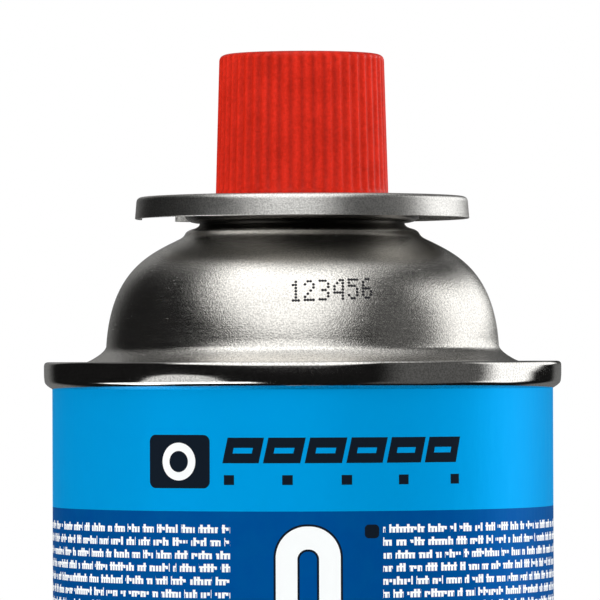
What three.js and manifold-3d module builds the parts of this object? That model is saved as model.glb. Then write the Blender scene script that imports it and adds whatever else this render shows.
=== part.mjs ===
// Gas canister for a portable stove, standing on its base.
// Millimetres, +Z up, the axis of the can on Z and the front of the print facing -Y.
// Pieces: the sealed can, the valve cup with its notched collar, the valve stem and the pull-off cap.

import * as THREE from 'three';
import { mergeVertices } from 'three/addons/utils/BufferGeometryUtils.js';
import Module from 'manifold-3d';

const wasm = await Module();
wasm.setup();

// Can body and its two double seams
const canHeight = 157.0;
const bodyRadius = 33.0;
const seamStep = 1.1;
const seamHeight = 3.0;
const seamWidth = 1.6;
const seamRound = 0.6;
const seamFlat = 0.5;
const underSeamNeck = 0.6;

// Bottom end
const bottomWallDepth = 4.6;
const bottomWallTaper = 0.7;
const bottomDomeRise = 6.4;

// Top end, its countersink and its domed shoulder
const countersinkDepth = 4.1;
const countersinkRound = 0.9;
const countersinkTaper = 0.4;
const footRadius = 28.0;
const footRise = 0.2;
const domeRadius = 25.9;
const domeFoot = 2.0;
const domeRise = 16.1;
const stepWidth = 1.9;
const stepRise = 1.25;
const neckWall = 0.8;
const curlReach = 2.1;
const curlThickness = 3.0;

// Valve cup: flat collar with a skirt, well and pedestal, pressed from one sheet
const sheet = 0.4;
const collarRadius = 22.05;
const collarRise = 21.7;
const collarSkirt = 2.9;
const collarRound = 0.7;
const wellRadius = 11.65;
const wellDepth = 5.1;
const wellRound = 0.8;
const pedestalRadius = 5.4;
const pedestalDrop = 1.1;
const pedestalRound = 0.9;

// Locating notch of the collar
const notchWidth = 10.5;
const notchFloor = 17.3;
const notchCorner = 1.2;
const notchAngle = 154.5;

// Valve stem and the chamber that it slides in
const stemRadius = 2.0;
const stemBore = 1.0;
const stemBoreDepth = 7.0;
const stemStandOff = 5.5;
const stemTipRound = 0.4;
const stemFlangeRadius = 2.9;
const stemFlangeHeight = 1.5;
const stemTailRadius = 1.6;
const stemTailLength = 1.9;
const stemTravel = 1.5;

// Pull-off cap
const capHeight = 18.5;
const capDraft = 0.48;
const capCorner = 1.0;
const capCrown = 0.12;
const capWall = 1.2;
const ribCount = 48;
const ribDepth = 0.3;
const ribRun = 0.8;
const plugTaper = 0.12;
const crownRing = 0.5;

// Clearances
const seatGap = 0.3;
const plugGap = 0.27;
const mouthGap = 0.65;
const sheetGap = 0.1;
const slideGap = 0.08;
const chamberGap = 0.3;

// Facets around each piece
const canFacets = 56;
const cupFacets = 44;
const stemFacets = 24;
const facetsPerRib = 2;

// Radii and heights that follow from the sizes above
const capFootRadius = wellRadius - plugGap;
const capTopRadius = capFootRadius - capDraft;
const mouthRadius = wellRadius + sheet + mouthGap;
const neckRadius = mouthRadius + neckWall;
const curlRadius = neckRadius + curlReach;
const stepRadius = neckRadius + stepWidth;
const collarTop = canHeight + collarRise;
const collarUnder = collarTop - sheet;
const curlTop = collarUnder - sheetGap;
const stepTop = canHeight + domeRise + stepRise;
const wellFloor = collarTop - wellDepth;
const pedestalTop = collarTop - pedestalDrop;
const bossTop = pedestalTop - sheet - sheetGap;
const mouthFloor = wellFloor - sheet - seatGap;
const seamRadius = bodyRadius + seamStep;
const flangeTop = bossTop - sheetGap;
const stemTail = flangeTop - stemFlangeHeight - stemTailLength;
const chamberFloor = stemTail - stemTravel - chamberGap;
const stemTop = collarTop + stemStandOff;

function point(x, y) {
  return new THREE.Vector2(x, y);
}

// Adds a rounded corner of the given control point to a profile that already stands at its start.
function bend(profile, control, end, steps) {
  const start = profile[profile.length - 1];
  const curve = new THREE.QuadraticBezierCurve(start, control, end);
  profile.push(...curve.getPoints(steps).slice(1));
}

// Turns a profile that runs outward and up again to the axis into a closed solid of revolution.
function turned(profile, facets) {
  const geometry = new THREE.LatheGeometry(profile, facets);
  geometry.rotateX(Math.PI / 2);
  return geometry;
}

function solidOf(geometry) {
  const bare = geometry.index ? geometry.toNonIndexed() : geometry.clone();
  bare.deleteAttribute('normal');
  bare.deleteAttribute('uv');
  const merged = mergeVertices(bare, 1e-4);
  const solid = new wasm.Manifold(new wasm.Mesh({
    numProp: 3,
    vertProperties: new Float32Array(merged.attributes.position.array),
    triVerts: new Uint32Array(merged.index.array),
  }));
  return solid;
}

function geometryOf(solid) {
  const mesh = solid.getMesh();
  const geometry = new THREE.BufferGeometry();
  geometry.setAttribute('position', new THREE.BufferAttribute(new Float32Array(mesh.vertProperties), 3));
  geometry.setIndex(new THREE.BufferAttribute(new Uint32Array(mesh.triVerts), 1));
  geometry.computeVertexNormals();
  return geometry;
}

// Concave base and the lower seam, from the axis out to the body wall
function baseProfile() {
  const wallTop = bodyRadius - seamFlat - bottomWallTaper;
  const profile = [point(0, bottomWallDepth + bottomDomeRise)];
  bend(profile, point(wallTop * 0.55, bottomWallDepth + bottomDomeRise), point(wallTop - 2.2, bottomWallDepth), 5);
  bend(profile, point(wallTop - 0.2, bottomWallDepth - 0.3), point(wallTop, bottomWallDepth - 2.0), 2);
  profile.push(point(seamRadius - seamWidth, seamRound));
  bend(profile, point(seamRadius - seamWidth, 0), point(seamRadius - seamRound - seamFlat, 0), 2);
  profile.push(point(seamRadius - seamRound, 0));
  bend(profile, point(seamRadius, 0), point(seamRadius, seamRound), 3);
  profile.push(point(seamRadius, seamHeight - seamRound));
  bend(profile, point(seamRadius, seamHeight), point(bodyRadius, seamHeight + underSeamNeck), 2);
  return profile;
}

// Upper seam and the countersink inside it
function topSeamProfile() {
  const under = canHeight - seamHeight;
  const groove = canHeight - countersinkDepth + countersinkRound;
  const wallFoot = seamRadius - seamWidth - countersinkTaper;
  const grooveInner = wallFoot - 2 * countersinkRound;
  const profile = [point(bodyRadius, under - underSeamNeck)];
  bend(profile, point(seamRadius, under), point(seamRadius, under + seamRound), 2);
  profile.push(point(seamRadius, canHeight - seamRound));
  bend(profile, point(seamRadius, canHeight), point(seamRadius - seamRound, canHeight), 3);
  profile.push(point(seamRadius - seamRound - seamFlat, canHeight));
  bend(profile, point(seamRadius - seamWidth, canHeight), point(seamRadius - seamWidth, canHeight - seamRound), 2);
  profile.push(point(wallFoot, groove));
  bend(profile, point(wallFoot, groove - countersinkRound), point(wallFoot - countersinkRound, groove - countersinkRound), 2);
  bend(profile, point(grooveInner, groove - countersinkRound), point(grooveInner, groove), 2);
  profile.push(point(grooveInner, canHeight - 2.2));
  bend(profile, point(grooveInner - 0.2, canHeight - 0.6), point(footRadius, canHeight + footRise), 3);
  return profile;
}

// Flared foot, dome and step, up to the neck under the collar
function shoulderProfile() {
  const foot = point(domeRadius, canHeight + domeFoot);
  const crest = point(stepRadius + 0.9, canHeight + domeRise);
  const profile = [point(footRadius, canHeight + footRise)];
  bend(profile, point(domeRadius + 0.2, canHeight + domeFoot - 0.8), foot, 4);
  const dome = new THREE.CubicBezierCurve(
    foot,
    point(domeRadius - 0.6, canHeight + domeRise * 0.745),
    point(crest.x + 3.9, crest.y - 1.9),
    crest,
  );
  profile.push(...dome.getPoints(10).slice(1));
  bend(profile, point(stepRadius + 0.2, crest.y + 0.3), point(stepRadius, stepTop - 0.4), 2);
  bend(profile, point(stepRadius - 0.3, stepTop), point(stepRadius - 1.2, stepTop + 0.2), 2);
  bend(profile, point(neckRadius, stepTop + 0.45), point(neckRadius, stepTop + 0.9), 2);
  return profile;
}

// Curl, mouth, seat of the cup and the chamber of the stem, back to the axis
function mouthProfile() {
  const curlMiddle = curlTop - curlThickness / 2;
  const bossRadius = pedestalRadius - sheet - seatGap;
  const chamberRadius = stemFlangeRadius + chamberGap;
  const profile = [point(neckRadius, curlTop - curlThickness)];
  bend(profile, point(curlRadius, curlTop - curlThickness), point(curlRadius, curlMiddle), 3);
  bend(profile, point(curlRadius, curlTop), point(curlRadius - curlThickness / 2, curlTop), 3);
  profile.push(point(mouthRadius + 0.6, curlTop));
  bend(profile, point(mouthRadius, curlTop), point(mouthRadius, curlTop - 0.6), 2);
  profile.push(point(mouthRadius, mouthFloor));
  profile.push(point(bossRadius, mouthFloor));
  profile.push(point(bossRadius, bossTop - pedestalRound));
  bend(profile, point(bossRadius, bossTop), point(bossRadius - pedestalRound, bossTop), 2);
  profile.push(point(chamberRadius, bossTop));
  profile.push(point(chamberRadius, chamberFloor));
  profile.push(point(0, chamberFloor));
  return profile;
}

function canGeometry() {
  const profile = [
    ...baseProfile(),
    ...topSeamProfile(),
    ...shoulderProfile().slice(1),
    ...mouthProfile(),
  ];
  return geometryOf(solidOf(turned(profile, canFacets)));
}

// One closed section of the pressed sheet, outside face first and inside face back
function cupSection() {
  const hole = stemRadius + slideGap;
  const skirtFoot = collarTop - collarSkirt;
  const profile = [point(hole, pedestalTop - sheet)];
  profile.push(point(pedestalRadius - pedestalRound, pedestalTop - sheet));
  bend(profile, point(pedestalRadius - sheet, pedestalTop - sheet),
    point(pedestalRadius - sheet, pedestalTop - pedestalRound), 2);
  profile.push(point(pedestalRadius - sheet, wellFloor - sheet));
  profile.push(point(wellRadius + sheet - wellRound, wellFloor - sheet));
  bend(profile, point(wellRadius + sheet, wellFloor - sheet), point(wellRadius + sheet, wellFloor + wellRound), 3);
  profile.push(point(wellRadius + sheet, collarUnder - 0.3));
  bend(profile, point(wellRadius + sheet, collarUnder), point(wellRadius + sheet + 0.3, collarUnder), 1);
  profile.push(point(collarRadius - collarRound, collarUnder));
  bend(profile, point(collarRadius - sheet, collarUnder), point(collarRadius - sheet, collarTop - collarRound), 2);
  profile.push(point(collarRadius - sheet, skirtFoot));
  profile.push(point(collarRadius, skirtFoot));
  profile.push(point(collarRadius, collarTop - collarRound));
  bend(profile, point(collarRadius, collarTop), point(collarRadius - collarRound, collarTop), 3);
  profile.push(point(wellRadius + 0.7, collarTop));
  bend(profile, point(wellRadius, collarTop), point(wellRadius, collarTop - 0.7), 3);
  profile.push(point(wellRadius, wellFloor + wellRound - sheet));
  bend(profile, point(wellRadius, wellFloor), point(wellRadius - wellRound + sheet, wellFloor), 2);
  profile.push(point(pedestalRadius + 0.4, wellFloor));
  bend(profile, point(pedestalRadius, wellFloor), point(pedestalRadius, wellFloor + 0.4), 1);
  profile.push(point(pedestalRadius, pedestalTop - pedestalRound));
  bend(profile, point(pedestalRadius, pedestalTop), point(pedestalRadius - pedestalRound, pedestalTop), 3);
  profile.push(point(hole, pedestalTop));
  profile.push(profile[0].clone());
  return profile;
}

// Round-cornered slot that cuts the collar and its skirt through
function notchTool() {
  const half = notchWidth / 2;
  const outer = collarRadius + 2;
  const outline = new THREE.Shape();
  outline.moveTo(outer, -half);
  outline.lineTo(outer, half);
  outline.lineTo(notchFloor + notchCorner, half);
  outline.absarc(notchFloor + notchCorner, half - notchCorner, notchCorner, Math.PI / 2, Math.PI, false);
  outline.lineTo(notchFloor, -half + notchCorner);
  outline.absarc(notchFloor + notchCorner, -half + notchCorner, notchCorner, Math.PI, Math.PI * 1.5, false);
  outline.closePath();
  const depth = collarSkirt + 2;
  const geometry = new THREE.ExtrudeGeometry(outline, { depth, bevelEnabled: false, curveSegments: 4 });
  geometry.translate(0, 0, collarTop + 1 - depth);
  geometry.rotateZ(THREE.MathUtils.degToRad(notchAngle));
  return solidOf(geometry);
}

function valveCupGeometry() {
  const pressed = solidOf(turned(cupSection(), cupFacets));
  return geometryOf(pressed.subtract(notchTool()));
}

function stemGeometry() {
  const boreFloor = stemTop - stemBoreDepth;
  const flangeFoot = flangeTop - stemFlangeHeight;
  const profile = [point(0, stemTail)];
  profile.push(point(stemTailRadius - 0.3, stemTail));
  profile.push(point(stemTailRadius, stemTail + 0.3));
  profile.push(point(stemTailRadius, flangeFoot));
  profile.push(point(stemFlangeRadius, flangeFoot));
  profile.push(point(stemFlangeRadius, flangeTop));
  profile.push(point(stemRadius, flangeTop));
  profile.push(point(stemRadius, stemTop - stemTipRound));
  bend(profile, point(stemRadius, stemTop), point(stemRadius - stemTipRound, stemTop), 3);
  profile.push(point(stemBore, stemTop));
  profile.push(point(stemBore, boreFloor));
  profile.push(point(0, boreFloor));
  return geometryOf(solidOf(turned(profile, stemFacets)));
}

// Depth of the moulded ribs at a point of the cap's outer wall: a sharp groove between rounded ribs
function ribInset(angle, height, top) {
  const foot = collarTop + seatGap;
  const fade = Math.min(1, Math.max(0, (height - foot) / ribRun));
  const crown = Math.min(1, Math.max(0, (top - height) / capCorner));
  const groove = 1 - Math.abs(Math.sin(angle * ribCount / 2));
  return ribDepth * groove * fade * crown;
}

function capGeometry() {
  const top = collarTop + capHeight + seatGap;
  const foot = collarTop + seatGap;
  const plugEnd = wellFloor + seatGap;
  const inner = capTopRadius - ribDepth - capWall;
  const plugInner = capFootRadius - ribDepth - capWall;
  const profile = [point(0, top - capWall)];
  profile.push(point(inner - 0.6, top - capWall));
  bend(profile, point(inner, top - capWall), point(inner, top - capWall - 0.6), 2);
  profile.push(point(plugInner, foot));
  profile.push(point(plugInner, plugEnd));
  profile.push(point(capFootRadius - plugTaper - 0.4, plugEnd));
  profile.push(point(capFootRadius - plugTaper, plugEnd + 0.4));
  profile.push(point(capFootRadius, foot));
  profile.push(point(capFootRadius, foot + ribRun));
  profile.push(point((capFootRadius + capTopRadius) / 2, (foot + top) / 2));
  profile.push(point(capTopRadius, top - capCorner));
  bend(profile, point(capTopRadius, top), point(capTopRadius - capCorner, top), 4);
  profile.push(point(crownRing * capTopRadius, top + capCrown * 0.7));
  profile.push(point(0, top + capCrown));
  const geometry = turned(profile, ribCount * facetsPerRib);
  const position = geometry.attributes.position;
  for (let i = 0; i < position.count; i += 1) {
    const x = position.getX(i);
    const y = position.getY(i);
    const z = position.getZ(i);
    const radius = Math.hypot(x, y);
    if (radius > capTopRadius - capCorner * 0.9 && z > foot) {
      const scale = 1 - ribInset(Math.atan2(y, x), z, top) / radius;
      position.setXY(i, x * scale, y * scale);
    }
  }
  return geometryOf(solidOf(geometry));
}

// Materials, one for each piece

function printedSteel() {
  return new THREE.MeshStandardMaterial({ color: 0x0294da, roughness: 0.32, metalness: 0.35 });
}

function platedSteel() {
  return new THREE.MeshStandardMaterial({ color: 0xc4c2bc, roughness: 0.34, metalness: 1.0 });
}

function stemPlastic() {
  return new THREE.MeshStandardMaterial({ color: 0xe6e3da, roughness: 0.5, metalness: 0.0 });
}

function capPlastic() {
  return new THREE.MeshStandardMaterial({ color: 0xcd2c17, roughness: 0.45, metalness: 0.0 });
}

function piece(name, geometry, material) {
  const mesh = new THREE.Mesh(geometry, material);
  mesh.name = name;
  return mesh;
}

const canister = new THREE.Group();
canister.add(piece('can', canGeometry(), printedSteel()));
canister.add(piece('valve_cup', valveCupGeometry(), platedSteel()));
canister.add(piece('valve_stem', stemGeometry(), stemPlastic()));
canister.add(piece('cap', capGeometry(), capPlastic()));

export default canister;
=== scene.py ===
"""Looks of a gas canister for a portable stove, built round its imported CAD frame."""

import math

import bmesh
import bpy
from mathutils import Matrix, Vector


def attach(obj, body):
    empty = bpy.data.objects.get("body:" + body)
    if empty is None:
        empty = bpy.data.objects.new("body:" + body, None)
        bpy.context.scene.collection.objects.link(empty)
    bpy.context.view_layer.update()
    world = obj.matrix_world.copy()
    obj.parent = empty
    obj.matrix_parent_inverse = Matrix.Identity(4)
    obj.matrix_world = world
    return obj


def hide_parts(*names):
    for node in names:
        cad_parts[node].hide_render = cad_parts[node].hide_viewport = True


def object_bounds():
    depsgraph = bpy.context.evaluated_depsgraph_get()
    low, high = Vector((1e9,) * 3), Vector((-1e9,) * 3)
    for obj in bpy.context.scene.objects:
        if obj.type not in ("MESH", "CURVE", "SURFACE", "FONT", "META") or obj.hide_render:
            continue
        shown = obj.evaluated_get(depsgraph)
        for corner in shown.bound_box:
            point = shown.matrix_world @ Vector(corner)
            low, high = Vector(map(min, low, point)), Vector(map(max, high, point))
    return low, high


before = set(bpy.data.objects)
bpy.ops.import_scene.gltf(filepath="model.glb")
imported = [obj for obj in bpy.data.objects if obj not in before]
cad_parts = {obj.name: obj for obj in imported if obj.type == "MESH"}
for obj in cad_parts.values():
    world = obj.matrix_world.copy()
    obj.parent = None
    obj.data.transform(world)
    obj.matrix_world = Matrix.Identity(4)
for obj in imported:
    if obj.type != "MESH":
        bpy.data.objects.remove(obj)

bl_info = {
    "name": "Gas Canister",
    "version": (1, 0, 0),
    "blender": (4, 5, 0),
    "location": "3D View > Sidebar > Canister",
    "description": "Builds the printed can, its shoulder, collar, valve and cap, and a pale studio",
    "category": "Add Mesh",
}

CAD_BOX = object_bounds()
MM = 0.001

# Marks of the print, in mm: left and right as arc from the front, low and high over the
# base, and last the radius of the corners where they are round
TILE = (-20.9, -12.1, 140.9, 147.7, 0.9)
TILE_RING = (-18.9, -14.1, 141.9, 146.7, 2.4)
TILE_RING_WIDTH = 1.05
BLOCKS = (-10.4, 20.9, 144.1, 147.35)
BLOCK_PITCH, BLOCK_WIDTH, BLOCK_SLANT = 5.3, 4.75, 0.22
BLOCK_HOLES = (-10.4, 20.9, 145.35, 146.05)
BLOCK_HOLE_START, BLOCK_HOLE_WIDTH = -9.3, 2.5
SQUARES = (-10.2, 21.6, 141.35, 142.6)
SQUARE_PITCH, SQUARE_WIDTH = 7.55, 1.35
PILL = (7.86, 9.77, 134.55, 136.3, 0.55)
LEFT_ROWS = (-50.0, -9.4, 100.6, 136.4)
RIGHT_ROWS = (10.3, 50.0, 100.6, 136.4)
LEFT_DASH, RIGHT_DASH = 2.6, 2.3
ROW_PITCH, ROW_HEIGHT = 1.65, 1.05
STROKE_PITCH, STROKE_WIDTH = 0.5, 0.36
GAP_HALF, BAR_HALF = 0.26, 0.11
ARCH = (-3.5, 4.75, 78.0, 136.1, 4.0)
ARCH_CORE = (-0.75, 2.0, 81.0, 133.2, 1.3)
ARCH_EDGE = 0.28
PRINT_END, WELD_START = 101.2, 103.0

WHITE_INK = (0.86, 0.88, 0.88, 1.0)
BARE_STRIP = (0.52, 0.50, 0.46, 1.0)
WELD_METAL = (0.30, 0.29, 0.28, 1.0)
# Painted shade of the neck under the collar
NECK_PAINTED_SHADE = (0.05, 0.045, 0.04, 1.0)

# Row of plain digits on the shoulder, in mm: its middle, its rise from one digit to the
# next, and the pitches of the digits and of their dots
DIGITS_ALONG, DIGITS_HEIGHT, DIGITS_RISE = 3.9, 166.15, 0.07
DIGIT_PITCH, DOT_ALONG, DOT_UP = 1.9, 0.36, 0.40
DOT_DIGITS = {
    "1": ("..#..", ".##..", "..#..", "..#..", "..#..", "..#..", ".###."),
    "2": (".##..", "#..#.", "...#.", "..#..", ".#...", "#....", "####."),
    "3": ("###..", "...#.", "...#.", ".##..", "...#.", "...#.", "###.."),
    "4": ("..##.", ".#.#.", "#..#.", "#..#.", "####.", "...#.", "...#."),
    "5": ("####.", "#....", "###..", "...#.", "...#.", "#..#.", ".##.."),
    "6": (".##..", "#....", "#....", "###..", "#..#.", "#..#.", ".##.."),
}

# Rise of the cap's top over its edge in mm, and the facets of one rib
CAP_CROWN = 0.12
RIB_STEPS = 8

# Soft cards of the studio: left, right, low, high and softness in degrees, and brightness
CARDS = (
    (-112, -25, -52, -27, 5, 2.8),
    (40, 92, -60, 46, 8, 0.10),
    (-180, -151, -30, 26, 8, 0.17),
    (150, 180, -30, 4, 5, 0.16),
)

# Lamps: name, place and side in metres, and power in watts
LAMPS = (
    ("lamp_left", (-0.97, -0.38, 0.32), 0.4, 6.2),
    ("lamp_right", (0.95, -0.42, 0.36), 0.4, 7.0),
    ("lamp_top", (-0.1, -0.35, 0.95), 0.6, 2.0),
)

# Camera of the photo: pixels, and metres
PHOTO_HALF, PIXELS_PER_MM = 300, 7.58
AXIS_OFFSET, HORIZON_DROP = -2.4, 66
EYE_DISTANCE, EYE_HEIGHT = 0.8, 0.1564
ROLL = math.radians(-0.18)


# Sizes and colours


class CanSizes(bpy.types.PropertyGroup):
    """Sizes of the can and of its bare steel top end"""

    body_radius: bpy.props.FloatProperty(
        name="Body radius", description="Outside radius of the printed wall",
        default=0.033, unit="LENGTH")
    seam_radius: bpy.props.FloatProperty(
        name="Seam radius", description="Outside radius of both double seams",
        default=CAD_BOX[1][0], unit="LENGTH")
    seam_height: bpy.props.FloatProperty(
        name="Seam height", description="Height of a double seam",
        default=0.003, unit="LENGTH")
    height: bpy.props.FloatProperty(
        name="Can height", description="From the base to the crown of the upper seam",
        default=0.157, unit="LENGTH")
    neck: bpy.props.FloatProperty(
        name="Neck", description="Height where the neck rises from the dome",
        default=0.1748, unit="LENGTH")
    steps: bpy.props.IntProperty(
        name="Steps round", description="Facets round each turned piece", default=160)


class PrintColours(bpy.types.PropertyGroup):
    """Colours and bands of the print"""

    upper: bpy.props.FloatVectorProperty(
        name="Upper field", description="Light blue field under the shoulder",
        default=(0.0, 0.370, 0.85), subtype="COLOR", size=3)
    lower: bpy.props.FloatVectorProperty(
        name="Lower field", description="Deep blue field of the lower print",
        default=(0.0, 0.086, 0.345), subtype="COLOR", size=3)
    ink: bpy.props.FloatVectorProperty(
        name="Dark ink", description="Near black ink of the small marks",
        default=(0.006, 0.009, 0.016), subtype="COLOR", size=3)
    band: bpy.props.FloatProperty(
        name="Field boundary", description="Height where the light blue meets the deep blue",
        default=0.138, unit="LENGTH")


class CupSizes(bpy.types.PropertyGroup):
    """Sizes of the pressed valve cup and its collar"""

    collar_radius: bpy.props.FloatProperty(
        name="Collar radius", description="Outside radius of the collar",
        default=0.02205, unit="LENGTH")
    collar_top: bpy.props.FloatProperty(
        name="Collar top", description="Height of the collar's flat top",
        default=0.1787, unit="LENGTH")
    skirt_foot: bpy.props.FloatProperty(
        name="Skirt foot", description="Height of the lower edge of the collar's skirt",
        default=0.1758, unit="LENGTH")
    well_floor: bpy.props.FloatProperty(
        name="Well floor", description="Height of the floor of the well",
        default=0.1736, unit="LENGTH")
    pedestal: bpy.props.FloatProperty(
        name="Pedestal", description="Height of the pedestal round the stem",
        default=0.1776, unit="LENGTH")
    sheet: bpy.props.FloatProperty(
        name="Sheet", description="Thickness of the pressed sheet",
        default=0.0004, unit="LENGTH")
    notch_width: bpy.props.FloatProperty(
        name="Notch width", description="Width of the locating notch",
        default=0.0105, unit="LENGTH")
    notch_angle: bpy.props.FloatProperty(
        name="Notch angle", description="Direction of the notch round the axis",
        default=math.radians(154.5), subtype="ANGLE")


class StemSizes(bpy.types.PropertyGroup):
    """Sizes of the hollow valve stem"""

    tip: bpy.props.FloatProperty(
        name="Tip", description="Height of the stem's tip at rest",
        default=0.1842, unit="LENGTH")
    foot: bpy.props.FloatProperty(
        name="Foot", description="Height of the stem's foot at rest",
        default=0.1736, unit="LENGTH")
    radius: bpy.props.FloatProperty(
        name="Stem radius", description="Outside radius of the tube",
        default=0.002, unit="LENGTH")


class CapSizes(bpy.types.PropertyGroup):
    """Sizes and colour of the pull-off cap"""

    ribs: bpy.props.IntProperty(name="Ribs", description="Ribs round the cap", default=48)
    rib_depth: bpy.props.FloatProperty(
        name="Rib depth", description="Depth of the grooves between the ribs",
        default=0.0003, unit="LENGTH")
    top_radius: bpy.props.FloatProperty(
        name="Top radius", description="Radius of the ribs under the top corner",
        default=0.0109, unit="LENGTH")
    foot_radius: bpy.props.FloatProperty(
        name="Foot radius", description="Radius of the ribs at the collar",
        default=0.01138, unit="LENGTH")
    top: bpy.props.FloatProperty(
        name="Top", description="Height of the cap's top edge",
        default=CAD_BOX[1][2] - CAP_CROWN * MM, unit="LENGTH")
    foot: bpy.props.FloatProperty(
        name="Foot", description="Height of the ribs' lower end over the collar",
        default=0.179, unit="LENGTH")
    plug: bpy.props.FloatProperty(
        name="Plug", description="Height of the plug's lower end in the well",
        default=0.1739, unit="LENGTH")
    wall: bpy.props.FloatProperty(
        name="Wall", description="Thickness of the moulded wall",
        default=0.0012, unit="LENGTH")
    colour: bpy.props.FloatVectorProperty(
        name="Red", description="Colour of the moulded plastic",
        default=(0.620, 0.0155, 0.0026), subtype="COLOR", size=3)


# Shader maths


class Value:
    """A socket of a material, with operators that add Math nodes."""

    def __init__(self, shader, socket):
        self.shader = shader
        self.socket = socket

    def __add__(self, other):
        return self.shader.maths("ADD", self, other)

    def __radd__(self, other):
        return self.shader.maths("ADD", other, self)

    def __sub__(self, other):
        return self.shader.maths("SUBTRACT", self, other)

    def __rsub__(self, other):
        return self.shader.maths("SUBTRACT", other, self)

    def __mul__(self, other):
        return self.shader.maths("MULTIPLY", self, other)

    def __rmul__(self, other):
        return self.shader.maths("MULTIPLY", other, self)

    def __truediv__(self, other):
        return self.shader.maths("DIVIDE", self, other)

    def __lt__(self, other):
        return self.shader.maths("LESS_THAN", self, other)

    def __gt__(self, other):
        return self.shader.maths("GREATER_THAN", self, other)

    def __mod__(self, other):
        return self.shader.maths("FLOORED_MODULO", self, other)

    def floor(self):
        return self.shader.maths("FLOOR", self)

    def abs(self):
        return self.shader.maths("ABSOLUTE", self)


class Shader:
    """One material or world tree, with one method that adds any node."""

    def __init__(self, tree):
        self.tree = tree

    def node(self, kind, settings=None, **inputs):
        """Adds a node; an input is named by its name, or as i and its number."""
        made = self.tree.nodes.new(kind)
        for key, value in (settings or {}).items():
            setattr(made, key, value)
        for key, value in inputs.items():
            if key[0] == "i" and key[1:].isdigit():
                socket = made.inputs[int(key[1:])]
            else:
                socket = made.inputs[key.replace("_", " ")]
            self.feed(socket, value)
        return made

    def feed(self, socket, value):
        """Links a value or a socket to the input, or sets a constant on it."""
        if isinstance(value, Value):
            self.tree.links.new(value.socket, socket)
        elif isinstance(value, bpy.types.NodeSocket):
            self.tree.links.new(value, socket)
        else:
            socket.default_value = value

    def out(self, made, name=0):
        return Value(self, made.outputs[name])

    def maths(self, operation, *values):
        inputs = {f"i{n}": value for n, value in enumerate(values)}
        return self.out(self.node("ShaderNodeMath", {"operation": operation}, **inputs))

    def largest(self, first, *others):
        for other in others:
            first = self.maths("MAXIMUM", first, other)
        return first

    def blend(self, mask, first, second):
        made = self.node("ShaderNodeMix", {"data_type": "RGBA"}, i0=mask, i6=first, i7=second)
        return self.out(made, 2)

    def noise(self, vector, scale, detail=3.0, rough=0.55):
        return self.out(self.node("ShaderNodeTexNoise", None, Vector=vector, Scale=scale,
                                  Detail=detail, Roughness=rough))

    def chance(self, column, row):
        """An even random number for each pair of whole numbers."""
        return self.out(self.node("ShaderNodeTexWhiteNoise", None,
                                  Vector=self.joined(column, row, 0.0)))

    def ramp(self, value, low, high):
        """Smooth step from 0 at low to 1 at high."""
        return self.out(self.node("ShaderNodeMapRange", {"interpolation_type": "SMOOTHSTEP"},
                                  i0=value, i1=low, i2=high))

    def stretched(self, vector, scale):
        return self.out(self.node("ShaderNodeMapping", None, Vector=vector, Scale=scale))

    def split(self, vector):
        made = self.node("ShaderNodeSeparateXYZ", None, Vector=vector)
        return (self.out(made, axis) for axis in "XYZ")

    def joined(self, x, y, z):
        return self.out(self.node("ShaderNodeCombineXYZ", None, X=x, Y=y, Z=z))


def rgba(colour):
    return (colour[0], colour[1], colour[2], 1.0)


def mm(length):
    """A length of the settings in millimetres."""
    return length * 1000


def fresh_material(name):
    """A material with its Principled shader, and the object coordinates in millimetres."""
    material = bpy.data.materials.new(name)
    material.use_nodes = True
    shader = Shader(material.node_tree)
    surface = material.node_tree.nodes["Principled BSDF"]
    place = shader.node("ShaderNodeTexCoord").outputs["Object"]
    scaled = shader.node("ShaderNodeVectorMath", {"operation": "SCALE"}, Vector=place,
                         Scale=1000.0)
    return material, shader, surface, scaled.outputs[0]


def roughened(shader, surface, height, strength, distance):
    """Feeds a height through a Bump node into the surface's Normal."""
    bump = shader.node("ShaderNodeBump", None, Strength=strength, Distance=distance,
                       Height=height)
    shader.feed(surface.inputs["Normal"], bump.outputs[0])


def around(shader, point, radius):
    """Arc length round the wall from the front, and height, both in millimetres."""
    x, y, z = shader.split(point)
    return shader.maths("ARCTAN2", x, y * -1.0) * radius, z


def box_mask(u, v, box):
    left, right, low, high = box
    wide = (u - (left + right) / 2).abs() < (right - left) / 2
    tall = (v - (low + high) / 2).abs() < (high - low) / 2
    return wide * tall


def round_box(shader, u, v, box):
    """Signed distance to a box with round corners, negative inside."""
    left, right, low, high, corner = box
    x = (u - (left + right) / 2).abs() - ((right - left) / 2 - corner)
    y = (v - (low + high) / 2).abs() - ((high - low) / 2 - corner)
    x, y = shader.largest(x, 0.0), shader.largest(y, 0.0)
    return shader.maths("SQRT", x * x + y * y) - corner


def fine_rows(shader, u, v, box, length):
    """Rows of small plain dashes of uneven length."""
    low = box[2]
    row = ((v - low) / ROW_PITCH).floor()
    across = (v - low) % ROW_PITCH
    along = u + shader.maths("SINE", row * 12.9) * 3.7

    # One gap in nearly every length of the row, at an uneven place
    chance = shader.chance((along / length).floor(), row)
    away = (along % length - length * (0.15 + chance * 0.8)).abs()
    gap = (away < GAP_HALF) * (chance < 0.9)

    # Short strokes of uneven height, most of them joined into dashes
    pick = shader.chance((along / STROKE_PITCH).floor(), row)
    raised = across > ROW_HEIGHT * 0.3 * (pick < 0.12)
    tall = across < ROW_HEIGHT * (0.68 + 0.32 * (pick > 0.66))
    strokes = (along % STROKE_PITCH < STROKE_WIDTH) * tall * raised
    bars = ((across - ROW_HEIGHT * 0.6).abs() < BAR_HALF) * (pick > 0.3)
    dashes = shader.largest(strokes, bars)
    return box_mask(u, v, box) * (across < ROW_HEIGHT) * (1.0 - gap) * dashes


# Materials


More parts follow.
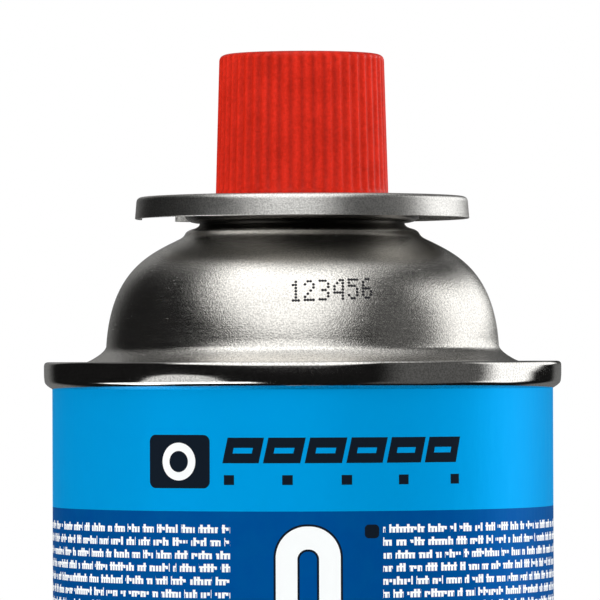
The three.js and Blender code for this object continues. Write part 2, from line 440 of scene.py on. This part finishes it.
def printed_material(sizes, colours):
    """Glossy print: two blue fields with plain generic marks, over tinplate."""
    material, shader, surface, point = fresh_material("printed_tinplate")
    u, v = around(shader, point, mm(sizes.body_radius))
    field = shader.blend(v < mm(colours.band), rgba(colours.upper), rgba(colours.lower))
    cloud = shader.ramp(shader.noise(point, 0.35), 0.35, 0.7)
    tint = shader.blend(cloud, field, shader.blend(0.012, field, (0.0, 0.85, 1.0, 1.0)))

    # Dark marks of the upper field
    tile = round_box(shader, u, v, TILE) < 0.0
    disc = round_box(shader, u, v, TILE_RING)
    slant = u - (v - BLOCKS[2]) * BLOCK_SLANT
    blocks = box_mask(slant, v, BLOCKS) * ((slant - BLOCKS[0]) % BLOCK_PITCH < BLOCK_WIDTH)
    holes = (box_mask(slant, v, BLOCK_HOLES)
             * ((slant - BLOCK_HOLE_START) % BLOCK_PITCH < BLOCK_HOLE_WIDTH))
    squares = box_mask(u, v, SQUARES) * ((u - SQUARES[0]) % SQUARE_PITCH < SQUARE_WIDTH)
    pill = round_box(shader, u, v, PILL) < 0.0
    dark = shader.largest(tile, blocks * (1.0 - holes), squares, pill)

    # White marks, and the thin dark edge of the arch
    left = fine_rows(shader, u, v, LEFT_ROWS, LEFT_DASH)
    right = fine_rows(shader, u, v, RIGHT_ROWS, RIGHT_DASH)
    arch = round_box(shader, u, v, ARCH)
    core = round_box(shader, u, v, ARCH_CORE)
    ring = (arch < 0.0) * (core > 0.0)
    edge = (arch < ARCH_EDGE) * (core > -ARCH_EDGE)
    hoop = (disc < 0.0) * (disc > -TILE_RING_WIDTH)
    white = shader.largest(left, right, ring, hoop)
    dark = shader.largest(dark, edge * (1.0 - ring))

    # Bare strip at the back, where the print stops short of the welded side seam
    strip = u.abs() > PRINT_END
    weld = u.abs() > WELD_START
    coloured = shader.blend(white, shader.blend(dark, tint, rgba(colours.ink)), WHITE_INK)
    coloured = shader.blend(strip, coloured, BARE_STRIP)
    coloured = shader.blend(weld, coloured, WELD_METAL)
    shader.feed(surface.inputs["Base Color"], coloured)
    shader.feed(surface.inputs["Metallic"],
                shader.largest(strip * 0.9, (1.0 - dark) * (1.0 - white) * 0.4))
    wear = shader.noise(shader.stretched(point, (1.0, 1.0, 0.12)), 1.4)
    shader.feed(surface.inputs["Roughness"], 0.36 + wear * 0.12 + dark * 0.05)
    surface.inputs["Specular IOR Level"].default_value = 0.06
    surface.inputs["Specular Tint"].default_value = (0.0, 0.75, 1.0, 1.0)
    ripple = shader.noise(shader.stretched(point, (1.0, 1.0, 0.3)), 0.5)
    roughened(shader, surface, ripple, 0.12, 0.0004)
    return material


def steel_material(name, colour, rough, streak, grain, neck=None):
    """Bare tinplate: fine streaks round the axis and a mottled crystal grain; given a neck height,
    painted shade on the neck under the collar.
    """
    material, shader, surface, point = fresh_material(name)
    x, y, z = shader.split(point)
    radius = shader.maths("SQRT", x * x + y * y)
    angle = shader.maths("ARCTAN2", x, y * -1.0)
    streaks = shader.noise(shader.joined(angle * 3.0, radius * 2.4, z * 2.4), 2.6, 5.0, 0.65)
    mottle = shader.noise(point, 4.6, 3.0, 0.6)
    broad = shader.noise(point, 0.25, 2.0)
    tone = shader.ramp(mottle * 0.8 + streaks * 0.2, 0.36, 0.62)
    dull = [part * 0.66 for part in colour]
    plate = shader.blend(tone, rgba(dull), rgba(colour))
    if neck:
        # Painted shade on the neck under the collar, darkening the metal over a short rise of
        # height
        plate = shader.blend(shader.ramp(z, neck - 0.7, neck + 0.5) * 0.85, plate, NECK_PAINTED_SHADE)
    shader.feed(surface.inputs["Base Color"], plate)
    surface.inputs["Metallic"].default_value = 1.0
    shader.feed(surface.inputs["Roughness"],
                rough + broad * 0.06 + (streaks - 0.5) * streak + (mottle - 0.5) * 0.08)
    roughened(shader, surface, streaks * 0.25 + mottle * 0.9, grain, 0.0002)
    return material


def cap_material(colour, ribs):
    """Satin red plastic with a faint moulding skin, and painted shade in the grooves between the
    ribs.
    """
    material, shader, surface, point = fresh_material("cap_red")
    turn, _ = around(shader, point, 1.0)
    groove = shader.maths("COSINE", turn * ribs) * 0.5 + 0.5
    skin = shader.noise(point, 2.2, 5.0, 0.65)
    cloud = shader.noise(point, 0.25)
    pale = [min(1.0, part * 1.18 + 0.006) for part in colour]
    deep = [part * 0.8 for part in colour]
    painted_groove_shade = [part * 0.3 for part in colour]
    patch = shader.ramp(skin * 0.6 + cloud * 0.4, 0.3, 0.7)
    plastic = shader.blend(patch, rgba(deep), rgba(pale))
    # Painted shade: the colour darkens in the grooves between the ribs
    shader.feed(surface.inputs["Base Color"],
                shader.blend(groove * 0.32, plastic, rgba(painted_groove_shade)))
    shader.feed(surface.inputs["Roughness"], 0.28 + skin * 0.16)
    surface.inputs["Specular IOR Level"].default_value = 0.2
    roughened(shader, surface, skin, 0.25, 0.00025)
    return material


def stem_material():
    """Pale moulded acetal of the valve stem."""
    material, shader, surface, point = fresh_material("stem_acetal")
    skin = shader.noise(point, 4.0, 4.0)
    shader.feed(surface.inputs["Base Color"],
                shader.blend(skin, (0.74, 0.72, 0.66, 1.0), (0.84, 0.82, 0.77, 1.0)))
    shader.feed(surface.inputs["Roughness"], 0.32 + skin * 0.14)
    roughened(shader, surface, skin, 0.15, 0.0001)
    return material


def ink_material():
    """Dark ink jet dots."""
    material, shader, surface, point = fresh_material("dot_ink")
    skin = shader.noise(point, 8.0)
    shader.feed(surface.inputs["Base Color"],
                shader.blend(skin, (0.004, 0.004, 0.006, 1.0), (0.02, 0.02, 0.024, 1.0)))
    shader.feed(surface.inputs["Roughness"], 0.5 + skin * 0.2)
    surface.inputs["Specular IOR Level"].default_value = 0.2
    return material


# Making meshes


def bend(points, control, end, steps):
    """Adds a rounded corner to a profile that already stands at its start."""
    start = points[-1]
    for n in range(1, steps + 1):
        t = n / steps
        points.append(tuple((1 - t) ** 2 * a + 2 * t * (1 - t) * b + t * t * c
                            for a, b, c in zip(start, control, end)))


def cubic(points, first, second, end, steps):
    """Adds a long curve with two control points to a profile."""
    start = points[-1]
    for n in range(1, steps + 1):
        t = n / steps
        points.append(tuple(
            (1 - t) ** 3 * a + 3 * t * (1 - t) ** 2 * b + 3 * t * t * (1 - t) * c + t ** 3 * d
            for a, b, c, d in zip(start, first, second, end)))


def spun(profile, steps, closed=True):
    """Turns a profile of (radius, height) in millimetres about Z into a bmesh."""
    bm = bmesh.new()
    verts = [bm.verts.new((0.0, -r * MM, z * MM)) for r, z in profile]
    edges = [bm.edges.new(pair) for pair in zip(verts, verts[1:])]
    if closed:
        edges.append(bm.edges.new((verts[-1], verts[0])))
    bmesh.ops.spin(bm, geom=verts + edges, cent=(0, 0, 0), axis=(0, 0, 1), angle=math.tau,
                   steps=steps, use_merge=True)
    bmesh.ops.remove_doubles(bm, verts=bm.verts, dist=1e-7)
    bmesh.ops.dissolve_degenerate(bm, dist=1e-8, edges=bm.edges)
    bmesh.ops.recalc_face_normals(bm, faces=bm.faces)
    return bm


def plain_object(bm, name):
    """Makes an object of a bmesh in the scene."""
    mesh = bpy.data.meshes.new(name)
    bm.to_mesh(mesh)
    bm.free()
    obj = bpy.data.objects.new(name, mesh)
    bpy.context.scene.collection.objects.link(obj)
    return obj


def finished(bm, name, material, body, crease=32.0):
    """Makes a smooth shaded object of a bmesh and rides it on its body."""
    for face in bm.faces:
        face.smooth = True
    for edge in bm.edges:
        if len(edge.link_faces) == 2:
            edge.smooth = edge.calc_face_angle(0.0) < math.radians(crease)
    obj = plain_object(bm, name)
    obj.data.materials.append(material)
    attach(obj, body)
    return obj


def seam_section(foot, crown, sizes, upward):
    """Section of a double seam: a rolled hook of sheet, its crown at one end."""
    outer, body = mm(sizes.seam_radius), mm(sizes.body_radius)
    inner, corner = outer - 1.6, 0.6
    turn = 1 if upward else -1
    points = [(body - 0.3, foot - turn * corner), (body, foot - turn * 0.55)]
    bend(points, (outer - 0.07, foot), (outer - 0.07, foot + turn * 0.5), 6)
    bend(points, (outer, foot + turn * 1.1), (outer, (foot + crown) / 2), 8)
    points.append((outer, crown - turn * 0.55))
    bend(points, (outer, crown), (outer - corner, crown), 6)
    points.append((outer - 1.1, crown))
    bend(points, (inner, crown), (inner, crown - turn * corner), 5)
    points += [(inner - 0.02, crown - turn * 1.2), (inner + 0.25, crown - turn * 1.25)]
    return points


def shoulder_profile(sizes):
    """Closed outline of the top end: down the trench, up the dome and back inside."""
    top = mm(sizes.height)
    trench, trench_wall, trench_side = top - 4.1, 32.1, 30.3
    points = [(32.45, top - 0.9), (trench_wall, top - 3.2)]
    bend(points, (trench_wall, trench), (31.2, trench), 5)
    bend(points, (trench_side, trench), (trench_side, top - 3.2), 5)
    points.append((trench_side, top - 2.2))

    # Flared foot and dome
    bend(points, (30.1, top - 0.6), (28.0, top + 0.2), 8)
    bend(points, (26.1, top + 1.2), (25.9, top + 2.0), 8)
    cubic(points, (25.3, top + 12.0), (20.2, top + 14.2), (16.3, top + 16.1), 28)

    # Step, neck and curl
    neck, neck_foot = 13.5, mm(sizes.neck)
    curl, curl_top, mouth = 15.6, top + 21.2, 12.75
    bend(points, (15.6, top + 16.4), (15.4, top + 16.95), 5)
    bend(points, (15.1, top + 17.35), (14.2, top + 17.55), 5)
    bend(points, (neck, neck_foot), (neck, neck_foot + 0.45), 4)
    bend(points, (curl, neck_foot + 0.4), (curl, curl_top - 1.5), 6)
    bend(points, (curl, curl_top), (curl - 1.5, curl_top), 6)
    points += [(13.3, curl_top), (mouth, curl_top - 0.6), (mouth, top + 15.6)]

    # Inner side of the sheet
    cubic(points, (19.5, top + 14.4), (24.7, top + 11.4), (25.4, top + 1.9), 12)
    points += [(27.6, top - 0.4), (29.9, top - 2.2), (29.95, trench - 0.4),
               (32.4, trench - 0.4), (32.45, top - 3.2)]
    return points


def base_profile():
    """Half outline of the concave base, from the axis to the lower seam and back inside."""
    hollow, sheet = 11.0, 0.4
    points = [(0.0, hollow)]
    bend(points, (17.5, hollow), (29.6, 4.6), 24)
    bend(points, (31.6, 4.3), (31.8, 2.6), 6)
    points += [(32.48, 0.9), (32.7, 1.2), (32.2, 2.8)]
    bend(points, (32.0, 4.7), (29.8, 4.6 + sheet), 6)
    bend(points, (17.5, hollow + sheet), (0.0, hollow + sheet), 16)
    return points


def cup_section(sizes):
    """Closed section of the pressed sheet: pedestal, well, collar and skirt."""
    edge, top, foot = mm(sizes.collar_radius), mm(sizes.collar_top), mm(sizes.skirt_foot)
    floor, peak, sheet = mm(sizes.well_floor), mm(sizes.pedestal), mm(sizes.sheet)
    hole, pedestal, well = 2.08, 5.4, 11.65
    points = [(hole, peak - sheet), (4.5, peak - sheet)]
    bend(points, (pedestal - sheet, peak - sheet), (pedestal - sheet, peak - 0.9), 4)
    points += [(pedestal - sheet, floor - sheet), (well - 0.4, floor - sheet)]
    bend(points, (well + sheet, floor - sheet), (well + sheet, floor + 0.8), 5)
    points.append((well + sheet, top - sheet - 0.3))
    bend(points, (well + sheet, top - sheet), (well + 0.7, top - sheet), 3)
    points.append((edge - 0.7, top - sheet))
    bend(points, (edge - sheet, top - sheet), (edge - sheet, top - 0.7), 4)
    points.append((edge - sheet, foot + 0.06))
    bend(points, (edge - 0.39, foot), (edge - 0.2, foot), 3)
    bend(points, (edge - 0.01, foot), (edge, foot + 0.08), 3)
    points.append((edge - 0.17, top - 0.75))
    bend(points, (edge - 0.21, top), (edge - 0.95, top), 10)
    points += [(17.0, top), (well + 0.7, top)]
    bend(points, (well, top), (well, top - 0.7), 6)
    points.append((well, floor + 0.4))
    bend(points, (well, floor), (well - 0.4, floor), 4)
    points.append((pedestal + 0.4, floor))
    bend(points, (pedestal, floor), (pedestal, floor + 0.4), 3)
    points.append((pedestal, peak - 0.9))
    bend(points, (pedestal, peak), (4.5, peak), 6)
    points.append((hole, peak))
    return points


def stem_profile(sizes):
    """Half section of the stem: foot, flange, tube and the bore in its tip."""
    tip, foot, outer = mm(sizes.tip), mm(sizes.foot), mm(sizes.radius)
    under, over, flange, bore = 175.5, 177.0, 2.9, 1.0
    points = [(0.0, foot), (1.3, foot), (1.6, foot + 0.3), (1.6, under), (flange, under),
              (flange, over), (outer, over), (outer, tip - 0.4)]
    bend(points, (outer, tip), (outer - 0.4, tip), 5)
    points.append((bore + 0.2, tip))
    bend(points, (bore, tip), (bore, tip - 0.25), 3)
    points += [(bore, tip - 7.0), (0.0, tip - 7.2)]
    return points


def cap_profile(sizes):
    """Half section of the cap: hollow, plug, drafted side and slightly crowned top."""
    rt, rf, depth = mm(sizes.top_radius), mm(sizes.foot_radius), mm(sizes.rib_depth)
    top, foot, plug, wall = mm(sizes.top), mm(sizes.foot), mm(sizes.plug), mm(sizes.wall)
    inner_top, inner_foot = rt - depth - wall, rf - depth - wall
    points = [(0.0, top - wall), (inner_top - 0.6, top - wall)]
    bend(points, (inner_top, top - wall), (inner_top, top - wall - 0.6), 4)
    points += [(inner_foot, foot), (inner_foot, plug), (rf - 0.52, plug)]
    bend(points, (rf - 0.12, plug), (rf - 0.12, plug + 0.4), 4)
    points += [(rf - 0.02, foot), (rf, foot + 0.25), (rf, foot + 0.7)]
    for n in range(1, 9):
        t = n / 8
        points.append((rf + (rt - rf) * t, foot + 0.7 + (top - foot - 1.7) * t))
    bend(points, (rt, top - 0.12), (rt - 0.95, top), 8)
    points += [(rt * 0.7, top + 0.05), (rt * 0.3, top + 0.1), (0.0, top + CAP_CROWN)]
    return points


def press_grooves(bm, sizes):
    """Draws the cap's side in between the ribs, fading out at both ends of them."""
    around_all = sizes.ribs * RIB_STEPS
    lower_fade, upper_fade, smooth_edge = 0.3 * MM, 0.9 * MM, 0.12 * MM
    low, high = sizes.foot + lower_fade, sizes.top - smooth_edge
    rings = {}
    for vert in bm.verts:
        radius = math.hypot(vert.co.x, vert.co.y)
        if low < vert.co.z < high and radius > sizes.top_radius - 0.4 * MM:
            step = round(math.atan2(vert.co.x, -vert.co.y) / math.tau * around_all)
            fade = min(1.0, (high - vert.co.z) / upper_fade, (vert.co.z - low) / lower_fade)
            key = (step % RIB_STEPS, round(radius, 5), round(fade, 3))
            rings.setdefault(key, []).append(vert)
    for (step, radius, fade), verts in rings.items():
        groove = 0.5 + 0.5 * math.cos(math.tau * step / RIB_STEPS)
        factor = 1 - sizes.rib_depth * groove * fade / radius
        bmesh.ops.scale(bm, vec=(factor, factor, 1.0), verts=verts)
    bmesh.ops.recalc_face_normals(bm, faces=bm.faces)


def notch_cutter(sizes):
    """Round-cornered tongue that cuts the notch through the collar and its skirt."""
    length, tall, inner, middle = 0.0075, 0.006, 0.0173, 0.1772
    bm = bmesh.new()
    bmesh.ops.create_cube(bm, size=1.0)
    bmesh.ops.scale(bm, vec=(length, sizes.notch_width, tall), verts=bm.verts)
    bmesh.ops.translate(bm, vec=(inner + length / 2, 0, middle), verts=bm.verts)
    corners = [edge for edge in bm.edges
               if abs((edge.verts[0].co - edge.verts[1].co).z) > tall / 2
               and edge.verts[0].co.x < inner + length / 4]
    bmesh.ops.bevel(bm, geom=corners, offset=0.0012, offset_type="OFFSET", segments=8,
                    profile=0.5, affect="EDGES", material=-1)
    turn = Matrix.Rotation(sizes.notch_angle, 3, "Z")
    bmesh.ops.rotate(bm, cent=(0, 0, 0), matrix=turn, verts=bm.verts)
    return plain_object(bm, "notch_cutter")


def cut_away(obj, cutter):
    """Subtracts the cutter from the object for good and removes the cutter."""
    modifier = obj.modifiers.new("notch", "BOOLEAN")
    modifier.operation = "DIFFERENCE"
    modifier.solver = "EXACT"
    modifier.object = cutter
    graph = bpy.context.evaluated_depsgraph_get()
    graph.update()
    cut = bpy.data.meshes.new_from_object(obj.evaluated_get(graph))
    obj.modifiers.clear()
    obj.data = cut
    bpy.data.objects.remove(cutter)


def on_dome(profile, height):
    """Radius and outward slope of the dome at a height in millimetres."""
    for (ra, za), (rb, zb) in zip(profile, profile[1:]):
        if za <= height <= zb and ra > 15.0:
            t = (height - za) / (zb - za)
            return ra + (rb - ra) * t, math.atan2(ra - rb, zb - za)
    raise RuntimeError("the mark is off the dome")


def add_dot(bm, profile, along, height):
    """Adds one flat dot that lies on the dome, at an arc from the front and a height."""
    radius, slope = on_dome(profile, height)
    turn = along / radius
    front = Vector((math.sin(turn), -math.cos(turn), 0.0))
    out = front * math.cos(slope) + Vector((0.0, 0.0, math.sin(slope)))
    foot = (front * radius + Vector((0.0, 0.0, height))) * MM
    matrix = Matrix.Translation(foot) @ out.to_track_quat("Z", "Y").to_matrix().to_4x4()
    bmesh.ops.create_cone(bm, cap_ends=True, segments=8, radius1=0.21 * MM,
                          radius2=0.19 * MM, depth=0.05 * MM, matrix=matrix)


# Operators


class CANISTER_OT_wall(bpy.types.Operator):
    """Printed wall of the can"""

    bl_idname = "canister.wall"
    bl_label = "Printed wall"

    def execute(self, context):
        sizes = context.scene.canister_can
        outer, sheet, rings = mm(sizes.body_radius), 0.25, 12
        low = mm(sizes.seam_height) + 0.1
        high = mm(sizes.height - sizes.seam_height) - 0.1
        profile = [(outer - sheet, low)]
        profile += [(outer, low + (high - low) * n / rings) for n in range(rings + 1)]
        profile.append((outer - sheet, high))
        obj = finished(spun(profile, sizes.steps), "can_wall",
                       printed_material(sizes, context.scene.canister_print), "can")
        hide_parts("can")
        return {"FINISHED"}


class CANISTER_OT_ends(bpy.types.Operator):
    """Domed shoulder, both double seams and the concave base"""

    bl_idname = "canister.ends"
    bl_label = "Ends and seams"

    def execute(self, context):
        sizes = context.scene.canister_can
        top, seam = mm(sizes.height), mm(sizes.seam_height)
        # The shoulder's material paints shade on the neck under the collar
        steel = steel_material("bare_tinplate", (0.82, 0.80, 0.765), 0.2, 0.18, 0.22,
                               neck=mm(sizes.neck))
        bright = steel_material("seam_tinplate", (0.82, 0.805, 0.78), 0.07, 0.05, 0.015)
        for name, section, closed, material in (
            ("shoulder", shoulder_profile(sizes), True, steel),
            ("upper_seam", seam_section(top - seam, top, sizes, True), True, bright),
            ("lower_seam", seam_section(seam, 0.0, sizes, False), True, bright),
            ("base_end", base_profile(), False, steel),
        ):
            obj = finished(spun(section, sizes.steps, closed), name, material, "can")
            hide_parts("can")
        return {"FINISHED"}


class CANISTER_OT_digits(bpy.types.Operator):
    """Row of plain ink jet digits on the shoulder"""

    bl_idname = "canister.digits"
    bl_label = "Ink jet digits"

    def execute(self, context):
        profile = shoulder_profile(context.scene.canister_can)
        bm = bmesh.new()
        for number, digit in enumerate("123456"):
            place = number - 2.5
            for row, line in enumerate(DOT_DIGITS[digit]):
                for column, mark in enumerate(line):
                    if mark == "#":
                        along = DIGITS_ALONG + place * DIGIT_PITCH + (column - 2) * DOT_ALONG
                        height = DIGITS_HEIGHT + (3 - row) * DOT_UP + place * DIGITS_RISE
                        add_dot(bm, profile, along, height)
        obj = finished(bm, "shoulder_digits", ink_material(), "can")
        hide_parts("can")
        return {"FINISHED"}


class CANISTER_OT_cup(bpy.types.Operator):
    """Valve cup with its notched collar"""

    bl_idname = "canister.cup"
    bl_label = "Valve cup"

    def execute(self, context):
        sizes = context.scene.canister_cup
        steel = steel_material("collar_tinplate", (0.84, 0.83, 0.81), 0.28, 0.08, 0.16)
        obj = finished(spun(cup_section(sizes), context.scene.canister_can.steps),
                       "collar_cup", steel, "can")
        cut_away(obj, notch_cutter(sizes))
        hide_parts("valve_cup")
        return {"FINISHED"}


class CANISTER_OT_stem(bpy.types.Operator):
    """Hollow valve stem"""

    bl_idname = "canister.stem"
    bl_label = "Valve stem"

    def execute(self, context):
        bm = spun(stem_profile(context.scene.canister_stem), 48, closed=False)
        obj = finished(bm, "stem_tube", stem_material(), "stem")
        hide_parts("valve_stem")
        return {"FINISHED"}


class CANISTER_OT_cap(bpy.types.Operator):
    """Red cap with moulded ribs"""

    bl_idname = "canister.cap"
    bl_label = "Cap"

    def execute(self, context):
        sizes = context.scene.canister_cap
        bm = spun(cap_profile(sizes), sizes.ribs * RIB_STEPS, closed=False)
        press_grooves(bm, sizes)
        obj = finished(bm, "cap_ribbed", cap_material(sizes.colour, sizes.ribs), "cap",
                       crease=50.0)
        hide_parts("cap")
        return {"FINISHED"}


class CANISTER_OT_stage(bpy.types.Operator):
    """Pale floor, soft studio light and the camera"""

    bl_idname = "canister.stage"
    bl_label = "Stage"

    def execute(self, context):
        scene = context.scene
        self.floor()
        self.world(scene)
        self.lamps(scene)
        self.camera(scene)
        scene.view_settings.view_transform = "Standard"
        return {"FINISHED"}

    def floor(self):
        bm = bmesh.new()
        bmesh.ops.create_circle(bm, cap_ends=True, segments=96, radius=0.45)
        bmesh.ops.translate(bm, vec=(0, 0, -0.0002), verts=bm.verts)
        obj = plain_object(bm, "floor")
        material, shader, surface, point = fresh_material("pale_floor")
        grain = shader.noise(point, 0.02)
        shader.feed(surface.inputs["Base Color"],
                    shader.blend(grain, (0.80, 0.80, 0.80, 1.0), (0.84, 0.84, 0.84, 1.0)))
        surface.inputs["Roughness"].default_value = 0.6
        obj.data.materials.append(material)
        obj.visible_glossy = False

    def world(self, scene):
        """Cards and softboxes that only reflections see, over an even grey light."""
        world = bpy.data.worlds.new("studio")
        world.use_nodes = True
        shader = Shader(world.node_tree)
        world.node_tree.nodes.clear()
        x, y, z = shader.split(shader.node("ShaderNodeTexCoord").outputs["Generated"])
        turn = shader.maths("ARCTAN2", x, y * -1.0) * (180 / math.pi)
        lift = shader.maths("ARCSINE", z) * (180 / math.pi)

        def between(value, low, high, soft):
            rise = shader.ramp(value, low - soft, low + soft)
            return rise * (1.0 - shader.ramp(value, high - soft, high + soft))

        # Oval card low at the left, seen in the seam, and the plain cards
        across = (turn + 57.0) / 22.0
        down = (lift + 19.5) / 16.5
        oval = 1.0 - shader.ramp(across * across + down * down, 0.93, 1.07)
        glow = 0.008 + oval * 0.85
        for left, right, low, high, soft, level in CARDS:
            glow = glow + between(turn, left, right, soft) * between(lift, low, high, soft) * level

        # Tall softbox at the right, and the dim room behind
        ceiling = 70.0 - turn * 0.345
        rear = 121.0 + shader.ramp(lift, -1.0, 7.0) * 35.0
        side = shader.ramp(turn, 84.0, 100.0) * (1.0 - shader.ramp(turn - rear, -5.0, 6.0))
        under = 1.0 - shader.ramp(lift - ceiling, -4.0, 8.0)
        glow = glow + side * under * shader.ramp(lift, -38.0, -26.0) * 1.5
        sill = 38.0 - shader.ramp(turn.abs(), 142.0, 164.0) * 26.0
        room = shader.ramp(turn.abs(), 104.0, 132.0) * shader.ramp(lift - sill, -6.0, 6.0)
        glow = glow + room * 0.14

        # Large softbox over the front, and the ceiling
        left = -16.0 - lift * 1.3
        right = 9.0 + lift * 0.62
        wide = shader.ramp(turn - left, -10.0, 10.0) * (1.0 - shader.ramp(turn - right, -7.0, 7.0))
        tall = shader.ramp(lift, 4.0, 13.0) * (1.0 - shader.ramp(lift, 66.0, 82.0))
        glow = glow + wide * tall * 1.45 + shader.ramp(lift, 48.0, 74.0) * 0.85

        # White for the camera, the cards for reflections and grey for all other light
        path = shader.node("ShaderNodeLightPath")
        cards = shader.out(shader.node("ShaderNodeCombineColor", None, i0=glow, i1=glow,
                                       i2=glow * 0.985))
        level = shader.blend(shader.out(path, "Is Glossy Ray"), (0.52, 0.52, 0.52, 1.0), cards)
        colour = shader.blend(shader.out(path, "Is Camera Ray"), level, (1.0, 1.0, 1.0, 1.0))
        back = shader.node("ShaderNodeBackground", None, Color=colour, Strength=1.0)
        out = shader.node("ShaderNodeOutputWorld")
        world.node_tree.links.new(back.outputs[0], out.inputs[0])
        scene.world = world

    def lamps(self, scene):
        target = Vector((0, 0, 0.12))
        for name, place, size, power in LAMPS:
            data = bpy.data.lights.new(name, "AREA")
            data.shape = "SQUARE"
            data.size = size
            data.energy = power
            lamp = bpy.data.objects.new(name, data)
            lamp.location = place
            lamp.rotation_euler = (target - Vector(place)).to_track_quat("-Z", "Y").to_euler()
            lamp.visible_glossy = False
            lamp.visible_camera = False
            scene.collection.objects.link(lamp)

    def camera(self, scene):
        """Level eye point of the photo, aimed up by the horizon's drop in the picture."""
        data = bpy.data.cameras.new("photo_camera")
        data.sensor_width = 36.0
        pixel = MM / PIXELS_PER_MM
        data.lens = data.sensor_width / 2 / (PHOTO_HALF * pixel / EYE_DISTANCE)
        data.clip_start = 0.05
        data.clip_end = 20.0
        camera = bpy.data.objects.new("photo_camera", data)
        camera.location = (AXIS_OFFSET * pixel, -EYE_DISTANCE, EYE_HEIGHT)
        rise = math.atan(HORIZON_DROP * pixel / EYE_DISTANCE)
        aim = Vector((0, math.cos(rise), math.sin(rise))).to_track_quat("-Z", "Y")
        camera.rotation_mode = "QUATERNION"
        camera.rotation_quaternion = aim @ Matrix.Rotation(ROLL, 4, "Z").to_quaternion()
        scene.collection.objects.link(camera)
        scene.camera = camera


class CANISTER_PT_panel(bpy.types.Panel):
    """Sidebar list of the canister's pieces"""

    bl_label = "Canister"
    bl_idname = "CANISTER_PT_panel"
    bl_space_type = "VIEW_3D"
    bl_region_type = "UI"
    bl_category = "Canister"

    def draw(self, context):
        for kind in OPERATORS:
            self.layout.operator(kind.bl_idname)


GROUPS = (
    ("canister_can", CanSizes),
    ("canister_print", PrintColours),
    ("canister_cup", CupSizes),
    ("canister_stem", StemSizes),
    ("canister_cap", CapSizes),
)
OPERATORS = (
    CANISTER_OT_wall,
    CANISTER_OT_ends,
    CANISTER_OT_digits,
    CANISTER_OT_cup,
    CANISTER_OT_stem,
    CANISTER_OT_cap,
    CANISTER_OT_stage,
)


def register():
    for name, group in GROUPS:
        bpy.utils.register_class(group)
        setattr(bpy.types.Scene, name, bpy.props.PointerProperty(type=group))
    for kind in (*OPERATORS, CANISTER_PT_panel):
        bpy.utils.register_class(kind)


def unregister():
    for kind in (CANISTER_PT_panel, *reversed(OPERATORS)):
        bpy.utils.unregister_class(kind)
    for name, group in reversed(GROUPS):
        delattr(bpy.types.Scene, name)
        bpy.utils.unregister_class(group)


def main():
    register()
    bpy.ops.canister.wall()
    bpy.ops.canister.ends()
    bpy.ops.canister.digits()
    bpy.ops.canister.cup()
    bpy.ops.canister.stem()
    bpy.ops.canister.cap()
    bpy.ops.canister.stage()
    bpy.context.view_layer.update()


if __name__ == "__main__":
    main()
